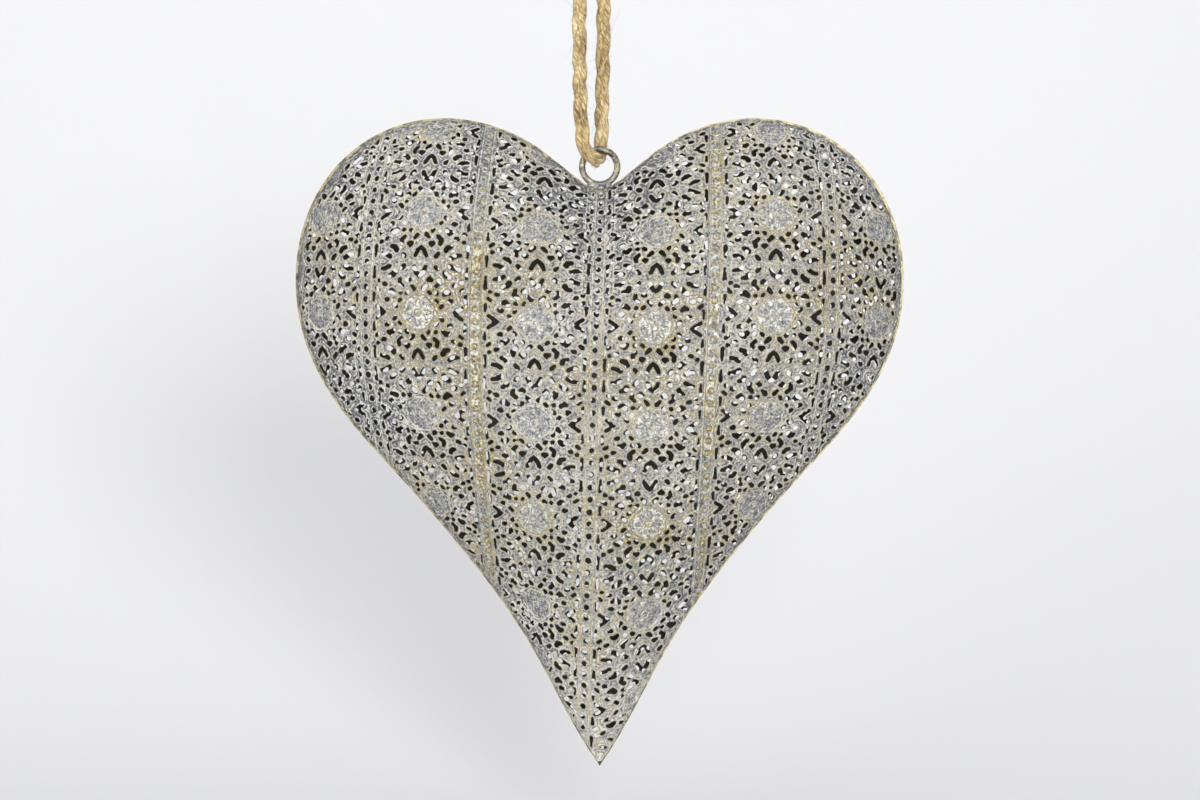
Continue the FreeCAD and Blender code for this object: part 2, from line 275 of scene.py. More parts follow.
def rust_and_painted_shade_inside(add):
    """The unpainted inside of the tin, a little rusty; its dark, dull colour is partly painted shade, so that
    the holes look black.
    """
    place = add("TexCoord")["Object"]
    stain = add("TexNoise", {"Vector": place, "Scale": per_metre(9), "Detail": 4.0})["Fac"]
    colour = add("ValToRGB", (stain,), [(0.3, "#37342F"), (0.7, "#5E574B")])["Color"]
    return {"Base Color": colour, "Roughness": 0.7, "Metallic": 0.3}


def brazed_rim(add):
    """The brazed edge where the shells meet: gold lacquer with a thin broken film of the grey wash."""
    place = add("TexCoord")["Object"]
    film = {"Vector": place, "Scale": per_metre(4), "Detail": 5.0, "Roughness": 0.7}
    worn = add("TexNoise", film)["Fac"]
    tones = [(0.36, "#36332A"), (0.47, "#655E45"), (0.55, "#94895F"), (0.64, "#7B7A74")]
    return {
        "Base Color": add("ValToRGB", (worn,), tones)["Color"],
        "Metallic": add("MapRange", {"Value": worn, "To Min": 0.9, "To Max": 0.2})["Result"],
        "Roughness": 0.42,
        "Normal": add("Bump", {"Height": worn, "Strength": 0.4, "Distance": 0.3 * MM})["Normal"],
    }


def dark_wire(add):
    """Annealed iron wire: nearly black scale, pitted, with rubbed brassy spots that catch the light."""
    coordinates = add("TexCoord")
    pitting = {"Vector": coordinates["Object"], "Scale": per_metre(1.6), "Detail": 5.0, "Roughness": 0.7}
    scale = add("TexNoise", pitting)["Fac"]
    tones = [(0.36, "#2E2C28"), (0.47, "#6C695F"), (0.57, "#A19B88"), (0.65, "#DCCB8E")]
    iron = add("ValToRGB", (scale,), tones)["Color"]
    # the grey wash of the heart runs up the lower half of the ring
    rise = add("SeparateXYZ", (coordinates["Generated"],))["Z"]
    reach = layered(add, rise, (scale, 0.8))
    film = {"Value": reach, "From Min": 0.60, "From Max": 0.95, "To Min": 0.6, "To Max": 0.0}
    washed = add("MapRange", film)["Result"]
    return {
        "Base Color": add("Mix", {0: washed, 6: iron, 7: hex_colour("#8E8E8B")}, data_type="RGBA")[2],
        "Metallic": 0.7,
        "Roughness": 0.42,
        "Normal": add("Bump", {"Height": scale, "Strength": 1.0, "Distance": 0.4 * MM})["Normal"],
    }


def soft_solder(add):
    """Tin solder under the grey wash: dull, lumpy, a little darker than the sheet beside it."""
    place = add("TexCoord")["Object"]
    lumps = add("TexNoise", {"Vector": place, "Scale": per_metre(1.8), "Detail": 4.0})["Fac"]
    tones = [(0.38, "#56575C"), (0.50, "#96969A"), (0.64, "#BBB7A8")]
    return {
        "Base Color": add("ValToRGB", (lumps,), tones)["Color"],
        "Metallic": 0.5,
        "Roughness": 0.5,
        "Normal": add("Bump", {"Height": lumps, "Strength": 0.6, "Distance": 0.3 * MM})["Normal"],
    }


def jute(add):
    """Natural jute: long straw-coloured bast fibres, each with its own tint, dull but with a soft edge."""
    # the cord's own fibre coordinates follow the twist and carry the scale of the streaks
    fibre = add("Attribute", attribute_name="fibre")["Vector"]
    streaks = add("TexNoise", {"Vector": fibre, "Scale": 1.0, "Detail": 4.0, "Roughness": 0.6})["Fac"]
    place = add("TexCoord")["Object"]
    ageing = add("TexNoise", {"Vector": place, "Scale": per_metre(9), "Detail": 2.0})["Fac"]
    tint = layered(add, streaks, (ageing, 0.5))
    straws = [(0.56, "#62482A"), (0.69, "#A0875A"), (0.81, "#C8B180"), (0.94, "#EADCB6")]
    return {
        "Base Color": add("ValToRGB", (tint,), straws)["Color"],
        "Roughness": 0.85,
        "Sheen Weight": 0.25,
        "Normal": add("Bump", {"Height": streaks, "Strength": 0.8, "Distance": 0.25 * MM})["Normal"],
    }


SURFACES = (washed_tin, rust_and_painted_shade_inside, brazed_rim, dark_wire, soft_solder, jute)
FINISHES = {surface_of.__name__: finish(surface_of) for surface_of in SURFACES}


# pieces


def new_piece(name, points, faces, body, finishes, replaces=()):
    """A smooth mesh of points in metres, riding on its body and finished with the named materials."""
    mesh = bpy.data.meshes.new(name)
    mesh.from_pydata(np.asarray(points, float).tolist(), [], [list(map(int, face)) for face in faces])
    for material in finishes:
        mesh.materials.append(FINISHES[material])
    mesh.polygons.foreach_set("use_smooth", [True] * len(mesh.polygons))
    mesh.update()
    piece = bpy.data.objects.new(name, mesh)
    bpy.context.scene.collection.objects.link(piece)
    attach(piece, body)
    if replaces:
        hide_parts(*replaces)
    return piece


def skin(rings, corners, start=0, capped=True):
    """The faces of a tube through rings of points that follow each other, closed at its ends if capped."""
    faces = []
    for ring in range(rings - 1):
        low = start + ring * corners
        for step in range(corners):
            following = (step + 1) % corners
            faces.append((low + step, low + following, low + corners + following, low + corners + step))
    if capped:
        last = start + (rings - 1) * corners
        faces.append(tuple(start + step for step in reversed(range(corners))))
        faces.append(tuple(last + step for step in range(corners)))
    return faces


def lengths_along(line):
    """How far along a line each of its points is."""
    return np.r_[0, np.cumsum(np.linalg.norm(np.diff(line, axis=0), axis=1))]


def points_at(line, places):
    """The points of a line at these lengths along it."""
    along = lengths_along(line)
    return np.stack([np.interp(places, along, column) for column in line.T], axis=1)


def unit(directions):
    """Directions, one a row, each brought to a length of one."""
    return directions / np.linalg.norm(directions, axis=1)[:, None]


def eased(share):
    """A share from nought to one that starts and stops softly."""
    return share * share * (3 - 2 * share)


# the cord: its own line first, then three plies twisted round that line; the route is the CAD's own, with
# the ring's wire and the cord's thickness in millimetres

CORD = 4.4
WIRE = 2.14
RING_RADIUS = 5.77
STRAND_Y = (WIRE + CORD) / 2 + 0.3
CORNER = STRAND_Y / math.cos(math.radians(22.5))
ring_mm = np.array(RING) / MM


def beside_ring(run, rise, y):
    """A point of the route so far to the right of the ring's centre and above it, in millimetres."""
    return (ring_mm[0] + run, y, ring_mm[2] + rise)


def round_wire(turn, angle):
    """A corner of the route round the ring's wire: turned so far round it, at this angle of the ring."""
    reach = RING_RADIUS - CORNER * math.sin(math.radians(turn))
    return beside_ring(
        reach * math.cos(math.radians(angle)),
        reach * math.sin(math.radians(angle)),
        -CORNER * math.cos(math.radians(turn)),
    )


ROUTE = [
    (-1.9, 0.0, 10.5),
    (-4.15, -0.4, 1.0),
    (-3.79, -1.93, -22.5),
    beside_ring(-6.15, 11.5, -STRAND_Y),
    round_wire(0, 140),
    round_wire(45, 126),
    round_wire(90, 112),
    round_wire(135, 98),
    round_wire(180, 85),
    beside_ring(0.75, 13.5, STRAND_Y),
    (3.83, 1.96, -21.5),
    (4.15, 0.4, 1.0),
    (1.9, 0.0, 10.5),
]


def smooth_line(name, corners):
    """The smooth line that follows a row of corners in millimetres, as a row of points in millimetres."""
    curve = bpy.data.curves.new(name, "CURVE")
    curve.dimensions = "3D"
    curve.resolution_u = 32
    spline = curve.splines.new("NURBS")
    spline.points.add(len(corners) - 1)
    for point, corner in zip(spline.points, corners):
        point.co = (*(coordinate * MM for coordinate in corner), 1.0)
    spline.order_u = 3
    spline.use_endpoint_u = True
    holder = bpy.data.objects.new(name, curve)
    mesh = bpy.data.meshes.new_from_object(holder)
    line = np.array([vertex.co for vertex in mesh.vertices], float) / MM
    bpy.data.objects.remove(holder)
    bpy.data.meshes.remove(mesh)
    return line


def evenly(line, step):
    """A line with its points this far apart."""
    length = lengths_along(line)[-1]
    return points_at(line, np.linspace(0, length, max(2, int(round(length / step)) + 1)))


def carried_frames(line):
    """For each point of a line, its direction and two directions square to it that don't spin."""
    ahead = unit(np.gradient(line, axis=0))
    side = np.cross(ahead[0], (0.3, 1.0, 0.2))
    sides = []
    for direction in ahead:
        side = side - direction * side.dot(direction)
        side /= np.linalg.norm(side)
        sides.append(side)
    sides = np.array(sides)
    return ahead, sides, np.cross(ahead, sides)


PLIES = 3
# the loose lay of the cord: one ply goes once round in this length
LAY = 30.0
PLY_RADIUS = 1.27
PLY_ORBIT = 1.18
# a ply swells slowly and quickly along its length, by shares of its radius, and its turns wander by
# this much of a radian
SLOW_SWELL = 0.06
QUICK_SWELL = 0.05
LAY_WANDER = 0.25
# the coarse and the fine ridges of fibre round a ply: how many, and their height as a share of its radius
COARSE_RIDGES, COARSE_RIDGE_HEIGHT = 7, 0.055
FINE_RIDGES, FINE_RIDGE_HEIGHT = 12, 0.035
# the points round a ply, and the spacing of its rings
SECTION = 22
RING_STEP = 0.45
# how fast the fibres of a ply wind round it, in radians for each millimetre
FIBRE_SLANT = 0.75
# a streak of the jute is this long in millimetres, and covers this much of a radian round its ply
STREAK_LENGTH = 1 / 0.22
STREAK_ARC = 1 / 2.2


def plies(line, phase=0.0):
    """The points, faces and fibre coordinates of a twisted cord along a line, all in millimetres."""
    line = evenly(line, RING_STEP)
    ahead, side, other = carried_frames(line)
    along = lengths_along(line)
    points, faces, fibres = [], [], []
    round_ply = np.arange(SECTION) / SECTION * 2 * math.pi
    for ply in range(PLIES):
        slow = SLOW_SWELL * np.sin(along / 3.1 + ply * 2.1 + phase)
        swell = 1 + slow + QUICK_SWELL * np.sin(along / 1.3 + ply * 4.0)
        turn = 2 * math.pi * (along / LAY + ply / PLIES) + phase + LAY_WANDER * np.sin(along / 7.0 + phase)
        outward = np.cos(turn)[:, None] * side + np.sin(turn)[:, None] * other
        across = np.cross(ahead, outward)
        centre = line + outward * PLY_ORBIT
        faces += skin(len(line), SECTION, len(points))
        for row, place in enumerate(along):
            # fibres lie across the ply at a slant, as ridges up to a fifth of a millimetre high
            slant = round_ply + place * FIBRE_SLANT
            coarse = COARSE_RIDGE_HEIGHT * np.sin(COARSE_RIDGES * slant)
            fine = FINE_RIDGE_HEIGHT * np.sin(FINE_RIDGES * slant + place * 0.9 + ply)
            radius = PLY_RADIUS * swell[row] * (1 + coarse + fine)
            sideways = (radius * np.cos(round_ply))[:, None] * outward[row]
            points.extend(centre[row] + sideways + (radius * np.sin(round_ply))[:, None] * across[row])
            for winding, angle in zip(slant, round_ply):
                streak = (winding / STREAK_ARC + ply * 17, place / STREAK_LENGTH)
                fibres.append((*streak, math.sin(angle) + phase))
    return np.array(points), faces, np.array(fibres)


def joined(parts):
    """Several sets of points, faces and fibre coordinates as one."""
    points, faces, fibres = [], [], []
    for more_points, more_faces, more_fibres in parts:
        shift = sum(len(some) for some in points)
        points.append(more_points)
        fibres.append(more_fibres)
        faces.extend(tuple(corner + shift for corner in face) for face in more_faces)
    return np.concatenate(points), faces, np.concatenate(fibres)


def cord_piece(name, parts, replaces=()):
    """A piece of jute from one or more lengths of cord or fibre."""
    points, faces, fibres = joined(parts)
    piece = new_piece(name, points * MM, faces, "cord", ["jute"], replaces)
    layer = piece.data.attributes.new("fibre", "FLOAT_VECTOR", "POINT")
    layer.data.foreach_set("vector", fibres.ravel())
    return piece


# a loose fibre: how far out from the cord's middle it starts, as a share of the cord's thickness, its
# corners and rings, how strongly it curls, and the share of its thickness that it loses by its end
HAIR_START = 0.42
HAIR_CORNERS = 3
HAIR_RINGS = 7
HAIR_CURL = 0.55
HAIR_TAPER = 0.7


def hairs(line, count, reach, thickness, tint):
    """Loose fibres that stand out of a cord: thin three-sided threads that bend as they leave it.

    Their greatest reach and their thickness are in millimetres.
    """
    line = evenly(line, RING_STEP)
    ahead, side, other = carried_frames(line)
    places = np.linspace(0, 1, HAIR_RINGS)
    spins = np.arange(HAIR_CORNERS) * 2 * math.pi / HAIR_CORNERS
    threads = []
    for number in range(count):
        row = random.integers(1, len(line) - 1)
        angle = random.uniform(0, 2 * math.pi)
        outward = math.cos(angle) * side[row] + math.sin(angle) * other[row]
        length = reach * random.uniform(0.35, 1.0) ** 1.6
        lean = random.uniform(-1, 1)
        curl = random.normal(0, HAIR_CURL, 3)
        # a fibre starts inside the cord and thins towards its end
        path = line[row] + outward * (CORD * HAIR_START)
        path = path + np.outer(places * length, outward * 0.55 + ahead[row] * lean)
        path = path + np.outer(places**2 * length * 0.6, curl)
        _, first, second = carried_frames(path)
        points = []
        for place, centre, one, two in zip(places, path, first, second):
            size = thickness * (1 - HAIR_TAPER * place)
            points += [centre + size * (math.cos(spin) * one + math.sin(spin) * two) for spin in spins]
        fibres = np.tile((tint + number * 0.7, length, 0.4), (len(points), 1))
        threads.append((np.array(points), skin(HAIR_RINGS, HAIR_CORNERS, capped=False), fibres))
    return joined(threads)


cord_line = smooth_line("cord_line", ROUTE)
hanging_cord = cord_piece("jute_cord", [plies(cord_line)], ["hanging_cord"])

# the overhand knot: both strands run up through it, and the doubled turns are drawn tight round them;
# its middle over the nail and its height in millimetres, where its turns start and end in degrees, and
# the share of them that is tucked in at each end
KNOT = 13.5
KNOT_HEIGHT = 8.8
FIRST_TURN = -60
LAST_TURN = 640
TUCKED_SHARE = 0.09
STRAND_TOPS = [
    [(-1.9, 0.0, 9.6), (-2.1, -0.3, KNOT), (-2.4, 0.4, 19.0), (-4.6, 0.8, 24.5), (-5.6, 0.3, 28.2)],
    [(1.9, 0.0, 9.6), (2.1, 0.3, KNOT), (2.2, -0.4, 18.5), (3.6, -0.9, 23.0), (6.0, -0.2, 27.6)],
]
turns = []
for angle in range(FIRST_TURN, LAST_TURN, 30):
    share = (angle - FIRST_TURN) / (LAST_TURN - FIRST_TURN)
    # the turns are narrow and shallow where they are tucked in
    tuck = min(1.0, share / TUCKED_SHARE, (1 - share) / TUCKED_SHARE)
    across = (1.4 + 3.0 * tuck) * math.cos(math.radians(angle))
    deep = (1.0 + 3.1 * tuck) * math.sin(math.radians(angle))
    turns.append((across * 1.12, deep, KNOT + KNOT_HEIGHT * (share - 0.5) + 0.42 * across))
strand_ends = [smooth_line("strand_end", corners) for corners in STRAND_TOPS]
knot_parts = [plies(end, 1.3 * number) for number, end in enumerate(strand_ends)]
knot_parts.append(plies(smooth_line("turns", turns), 2.2))
cord_knot = cord_piece("jute_knot", knot_parts, ["cord_knot"])

# short fuzz all along the cord, a few long fibres, and frayed ends
fuzz_parts = [hairs(cord_line, 1400, 1.9, 0.065, 0.0), hairs(cord_line, 90, 6.5, 0.055, 5.0)]
fuzz_parts += [hairs(end, 160, 2.6, 0.055, 3.0) for end in strand_ends]
cord_fuzz = cord_piece("jute_fuzz", fuzz_parts)

# the heart's shell as a height over the plane of the rim; the outline's shares are of the half width
# and of the height, with how full the shell is there

HALF_WIDTH = 100.0
HEIGHT = 213.0
DEPTH = 31.0
RIM_HALF = 0.5
RIM_LIP = 0.7
CROWN = 0.585 * HEIGHT
# the pressed crease down the middle is rounded this much at the crown
CREASE_ROUNDING = 2.6
SHEET = 0.6
LAP = 3.5
LAP_STEP = 1.2
# the plain band of the upper sheet lies this far from its cut edge
BAND_FROM_SEAM = 2.3
OUTLINE_SHARES = [
    (0.000, 0.886, 2.1),
    (0.092, 0.914, 2.2),
    (0.191, 0.951, 2.3),
    (0.349, 0.988, 2.7),
    (0.523, 1.000, 3.3),
    (0.695, 0.983, 3.8),
    (0.850, 0.934, 4.1),
    (0.962, 0.851, 4.0),
    (1.000, 0.747, 3.7),
    (0.963, 0.648, 3.2),
    (0.860, 0.557, 2.7),
    (0.642, 0.4385, 2.5),
    (0.418, 0.315, 2.4),
    (0.232, 0.191, 2.3),
    (0.089, 0.067, 2.2),
    (0.000, 0.000, 2.2),
]
# a seam's places, as shares of the height and of the half width
SEAM_HEIGHT_SHARES = [1.066, 0.643, 0.221]
LEFT_SEAM_SHARES = [-0.356, -0.424, -0.356]
RIGHT_SEAM_SHARES = [0.362, 0.339, 0.2925]


def fair_curve(places, values):
    """A smooth cubic through values at rising places, with no kink at its second and last but one."""
    count = len(places)
    gaps = np.diff(places)
    system = np.zeros((count, count))
    right = np.zeros(values.shape)
    for row in range(1, count - 1):
        system[row, row - 1 : row + 2] = gaps[row - 1], 2 * (gaps[row - 1] + gaps[row]), gaps[row]
        rise = (values[row + 1] - values[row]) / gaps[row] - (values[row] - values[row - 1]) / gaps[row - 1]
        right[row] = 6 * rise
    system[0, :3] = gaps[1], -(gaps[0] + gaps[1]), gaps[0]
    system[-1, -3:] = gaps[-1], -(gaps[-2] + gaps[-1]), gaps[-2]
    bend = np.linalg.solve(system, right)

    def at(query):
        left = np.clip(np.searchsorted(places, query) - 1, 0, count - 2)
        gap = gaps[left][:, None]
        before = (places[left + 1] - query)[:, None] / gap
        after = (query - places[left])[:, None] / gap
        cubic = (before**3 - before) * bend[left] + (after**3 - after) * bend[left + 1]
        return before * values[left] + after * values[left + 1] + cubic * gap**2 / 6

    return at


shares = np.array(OUTLINE_SHARES)
corners_mm = shares[:, :2] * (HALF_WIDTH, HEIGHT)
steps = lengths_along(corners_mm)
fine_steps = np.linspace(0, steps[-1], 3001)
half_outline = fair_curve(steps, corners_mm)(fine_steps)
fine_fullness = np.interp(fine_steps, steps, shares[:, 2])
fine_angle = np.arctan2(half_outline[:, 0], half_outline[:, 1] - CROWN)
fine_reach = np.hypot(half_outline[:, 0], half_outline[:, 1] - CROWN)
SHELL_SCALE = 1 - RIM_LIP / HALF_WIDTH


def about_crown(x, z):
    """The angle from straight up and the distance from the crown."""
    return np.arctan2(np.abs(x), z - CROWN), np.hypot(x, z - CROWN)


def edge_at(angle):
    """How far the shell's edge lies in that direction, and how full the shell is there."""
    return np.interp(angle, fine_angle, fine_reach) * SHELL_SCALE, np.interp(angle, fine_angle, fine_fullness)


def shell_height(x, z):
    """How high the shell stands over the rim at a point, and how far out that point is, 1 at the edge."""
    angle, distance = about_crown(x, z)
    reach, fullness = edge_at(angle)
    outness = distance / reach
    # the crease is a little rounded, less towards the edge
    soft = CREASE_ROUNDING * np.clip(1 - outness, 0, 1)
    angle, distance = about_crown(np.hypot(x, soft), z)
    reach, fullness = edge_at(angle)
    return DEPTH * (1 - np.clip(distance / reach, 0, 1) ** fullness), outness


# sheet metal wraps over the shell: lengths along it are measured outwards from the crown

ANGLES = np.linspace(0, math.pi, 361)
OUTNESS = np.linspace(0, 1, 161)
edge_reach, edge_fullness = edge_at(ANGLES)
falls = DEPTH * edge_fullness[:, None] * OUTNESS ** (edge_fullness[:, None] - 1) / edge_reach[:, None]
speed = np.sqrt(1 + falls**2) * edge_reach[:, None]
middle_speed = (speed[:, 1:] + speed[:, :-1]) / 2 * (OUTNESS[1] - OUTNESS[0])
LENGTHS = np.c_[np.zeros(len(ANGLES)), np.cumsum(middle_speed, axis=1)]
EDGE_SHRINK = 1 / np.sqrt(1 + falls[:, -1] ** 2)


def length_at(angle, outness):
    """The length along the sheet from the crown to that share of the way to the edge."""
    column = angle / math.pi * (len(ANGLES) - 1)
    left = np.clip(column.astype(int), 0, len(ANGLES) - 2)
    row = outness * (len(OUTNESS) - 1)
    low = np.clip(row.astype(int), 0, len(OUTNESS) - 2)
    side, up = column - left, row - low
    near = LENGTHS[left, low] * (1 - up) + LENGTHS[left, low + 1] * up
    far = LENGTHS[left + 1, low] * (1 - up) + LENGTHS[left + 1, low + 1] * up
    return near * (1 - side) + far * side


def wrapped(u, v):
    """Where a point of the flat sheet, measured from the crown, comes to lie in the picture plane."""
    angle = np.arctan2(np.abs(u), v)
    length = np.hypot(u, v)
    low, high = np.zeros_like(length), np.ones_like(length)
    # twenty halvings find the place to a thousandth of a millimetre
    for _ in range(20):
        middle = (low + high) / 2
        short = length_at(angle, middle) < length
        low, high = np.where(short, middle, low), np.where(short, high, middle)
    reach, _ = edge_at(angle)
    whole = length_at(angle, np.ones_like(length))
    beyond = reach + (length - whole) * np.interp(angle, ANGLES, EDGE_SHRINK)
    distance = np.where(length <= whole, low * reach, beyond)
    return np.sign(u) * distance * np.sin(angle), CROWN + distance * np.cos(angle)


def unwrapped(x, z):
    """The point of the flat sheet that lies at a point of the picture plane."""
    angle, distance = about_crown(x, z)
    reach, _ = edge_at(angle)
    length = length_at(angle, np.clip(distance / reach, 0, 1))
    return np.sign(x) * length * np.sin(angle), length * np.cos(angle)


def seam_line(seam_shares, z):
    """Where a lap seam runs across the heart at that height: a parabola through three of its places."""
    return HALF_WIDTH * np.polyval(np.polyfit(SEAM_HEIGHT_SHARES, seam_shares, 2), z / HEIGHT)


# the pierced pattern, drawn in millimetres of one quarter of its cell: first the distance from
# the nearest band, then the distance from the nearest row of medallions; each opening is a stroke
# through some points, with the widths of its two ends
QUARTER_HOLES = [
    ([(3.15, 3.3), (3.2, 5.7)], (0.7, 1.25)),
    ([(3.1, 10.9), (3.1, 14.5)], (1.3, 0.8)),
    ([(3.95, 7.5), (4.75, 6.9)], (1.3, 1.3)),
    ([(4.6, 9.7), (4.95, 9.7)], (1.6, 1.1)),
    ([(7.5, 3.9), (8.1, 3.8)], (1.4, 1.8)),
    ([(6.5, 8.8), (7.2, 8.6)], (1.5, 1.3)),
    ([(10.45, 2.3), (11.1, 1.6)], (1.4, 1.4)),
    ([(12.2, 3.4), (12.6, 3.8)], (1.3, 1.3)),
    ([(8.3, 6.2), (9.3, 6.9), (10.2, 5.8)], (1.4, 1.7)),
    ([(12.5, 6.0), (12.7, 6.1)], (1.45, 1.45)),
    ([(14.7, 5.9), (15.15, 6.35)], (1.4, 1.4)),
    ([(16.3, 8.4), (17.3, 7.4)], (1.3, 1.7)),
    ([(13.1, 8.1), (11.8, 9.2), (12.2, 10.4)], (1.45, 1.5)),
    ([(14.5, 10.2), (15.0, 10.8), (15.5, 10.2)], (1.5, 1.5)),
    ([(8.5, 11.3), (9.7, 11.6), (10.2, 12.5)], (1.5, 1.9)),
    ([(12.7, 13.6), (13.4, 14.4)], (1.4, 1.6)),
    ([(5.5, 13.7), (7.0, 13.9), (8.3, 14.6)], (1.3, 1.7)),
]
CHEVRON = ([(4.1, 1.9), (7.0, 0.0), (4.1, -1.9)], (1.3, 1.3))
ARCH = ([(-1.9, 14.3), (-1.2, 12.6), (0.0, 11.5), (1.2, 12.6), (1.9, 14.3)], (1.45, 1.45))
DOT_RADIUS = 0.92


def stroke_outline(points, widths):
    """The closed outline of a stroke with round ends."""
    points = np.array(points, float)
    along = lengths_along(points)
    ends = (0, along[-1])
    count = max(2, int(round(along[-1] / 0.9)) + 1)
    places = np.unique(np.r_[np.linspace(*ends, count), along[1:-1]])
    line = points_at(points, places)
    half = np.interp(places, ends, widths)[:, None] / 2
    ahead = unit(np.gradient(line, axis=0))
    side = np.stack([-ahead[:, 1], ahead[:, 0]], axis=1)
    caps = [(math.cos(turn), math.sin(turn)) for turn in (math.pi / 4, math.pi / 2, math.pi * 3 / 4)]
    outline = list(line + side * half)
    outline += [line[-1] + half[-1] * (near * side[-1] + far * ahead[-1]) for near, far in caps]
    outline += list((line - side * half)[::-1])
    outline += [line[0] - half[0] * (near * side[0] + far * ahead[0]) for near, far in caps]
    outline = np.array(outline)
    # inside a bend the outline would cross itself, so points too near the stroke's middle go
    fine = np.linspace(*ends, 60)
    away = np.linalg.norm(outline[:, None] - points_at(points, fine), axis=2)
    outline = outline[(away / np.interp(fine, ends, widths) * 2).min(axis=1) > 0.98]
    gap = np.linalg.norm(outline - np.roll(outline, 1, axis=0), axis=1)
    return outline[gap > 0.22]


def cell_holes():
    """The outlines of every opening of one cell, measured from its medallion."""
    outlines = []
    for points, widths in QUARTER_HOLES:
        outline = stroke_outline(points, widths)
        for across in (-1, 1):
            for up in (-1, 1):
                outlines.append(np.stack([across * (HALF_U - outline[:, 0]), up * outline[:, 1]], axis=1))
    chevron = stroke_outline(*CHEVRON)
    outlines += [np.stack([across * (HALF_U - chevron[:, 0]), chevron[:, 1]], axis=1) for across in (-1, 1)]
    outlines += [stroke_outline(*ARCH) * (1, up) for up in (-1, 1)]
    return outlines


corners_of_dot = np.arange(8) / 8 * 2 * math.pi
DOT = DOT_RADIUS * np.stack([np.cos(corners_of_dot), np.sin(corners_of_dot)], axis=1) * (1, 1.08)
# the stretch of pattern that more than covers the heart, as medallion columns and rows from the crown
COLUMNS = (-1.5, -0.5, 0.5, 1.5)
ROWS = range(-6, 5)


class Sheet:
    """One strip of sheet: where its pattern lies, and which stretch of the shell it covers."""

    def __init__(self, name, shift, turn, stretch, left_seam, right_seam):
        self.name = name
        self.shift = np.array(shift)
        self.turn = turn
        self.stretch = np.array(stretch)
        self.left_seam = left_seam
        self.right_seam = right_seam
        self.bends = {}
        for across, seam in ((-CELL_U, left_seam), (CELL_U, right_seam)):
            if seam:
                self.bends[across] = self.bend_to_seam(across, seam)

    def flat(self, u, v):
        """A point of the pattern on the flat sheet, measured from the crown."""
        u, v = u * self.stretch[0], v * self.stretch[1]
        cosine, sine = math.cos(self.turn), math.sin(self.turn)
        return self.shift[0] + cosine * u - sine * v, self.shift[1] + sine * u + cosine * v

    def bend_to_seam(self, across, seam):
        """How far the band beside a seam is off its place, for each height in the pattern."""
        v = np.linspace(ROWS.start, ROWS.stop, 111) * CELL_V
        x, z = wrapped(*self.flat(np.full_like(v, across), v))
        return v, np.clip(seam_line(seam, z) + BAND_FROM_SEAM - x, -3, 3)

    def nudge(self, u, v):
        """The sideways shift that brings the bands beside the seams to their places."""
        total = np.zeros_like(u)
        for across, (heights, offs) in self.bends.items():
            share = np.clip(u / across, 0, 1)
            total += np.interp(v, heights, offs) * eased(share)
        return total

    def placed(self, u, v):
        """A point of the pattern in the picture plane."""
        x, z = wrapped(*self.flat(u, v))
        return x + self.nudge(u, v), z

    def pattern(self, x, z):
        """The point of the pattern that lies at a point of the picture plane."""
        u, v = self.read_flat(x, z)
        return self.read_flat(x - self.nudge(u, v), z)

    def read_flat(self, x, z):
        """Undoes the wrap, the shift and the turn."""
        u, v = unwrapped(x, z)
        u, v = u - self.shift[0], v - self.shift[1]
        cosine, sine = math.cos(self.turn), math.sin(self.turn)
        return (cosine * u + sine * v) / self.stretch[0], (cosine * v - sine * u) / self.stretch[1]

    def spans(self, x, z, margin):
        """Which points lie inside the strip by that margin."""
        angle, distance = about_crown(x, z)
        reach, _ = edge_at(angle)
        inside = distance < reach - margin
        if self.left_seam:
            inside &= x > seam_line(self.left_seam, z) + margin
        if self.right_seam:
            inside &= x < seam_line(self.right_seam, z) + LAP - margin
        return inside


def sheet_border(sheet):
    """The outline of a strip, anticlockwise as seen from the front, with points about a millimetre apart."""
    keep = np.linspace(0, len(half_outline) - 1, 420).astype(int)
    right = half_outline[keep] * SHELL_SCALE + (0, CROWN * (1 - SHELL_SCALE))
    loop = np.concatenate([(right * (-1, 1))[:-1], right[::-1][:-1]])
    inside = np.ones(len(loop), bool)
    if sheet.left_seam:
        inside &= loop[:, 0] > seam_line(sheet.left_seam, loop[:, 1])
    if sheet.right_seam:
        inside &= loop[:, 0] < seam_line(sheet.right_seam, loop[:, 1]) + LAP
    # walk the loop from the first point after a gap, and bridge each gap along its seam
    start = next(number for number in range(len(loop)) if inside[number] and not inside[number - 1])
    border = [loop[start]]
    previous = start
    for step in range(1, len(loop) + 1):
        index = (start + step) % len(loop)
        if not inside[index]:
            continue
        if (index - previous) % len(loop) > 1:
            border += seam_bridge(sheet, loop, previous, index)
        if index != start:
            border.append(loop[index])
        previous = index
    return np.array(border)


def seam_bridge(sheet, loop, leave, back):
    """The points of a seam between two places where it meets the outline."""
    seam, shift = (sheet.left_seam, 0.0) if sheet.left_seam else (sheet.right_seam, LAP)
    if sheet.left_seam and sheet.right_seam:
        x, z = loop[leave]
        if 2 * x >= seam_line(sheet.left_seam, z) + seam_line(sheet.right_seam, z):
            seam, shift = sheet.right_seam, LAP
    ends = []
    for inner, step in ((leave, 1), (back, -1)):
        one, two = loop[inner], loop[(inner + step) % len(loop)]
        offs = [point[0] - seam_line(seam, point[1]) - shift for point in (one, two)]
        share = offs[0] / (offs[0] - offs[1])
        ends.append(one[1] + (two[1] - one[1]) * share)
    heights = np.linspace(*ends, max(3, int(abs(ends[1] - ends[0]) / 0.8)))
    return [np.array((seam_line(seam, height) + shift, height)) for height in heights]


# the sheet left between an opening and an edge, and the size of an opening that is punched smaller
HOLE_TO_EDGE = 0.5
SMALL_OPENING = 0.6
# how uneven the openings are: the range of their size, and the spread of their corners and their places
OPENING_SIZES = (0.88, 1.06)
CORNER_SPREAD = 0.045
PLACE_SPREAD = 0.07


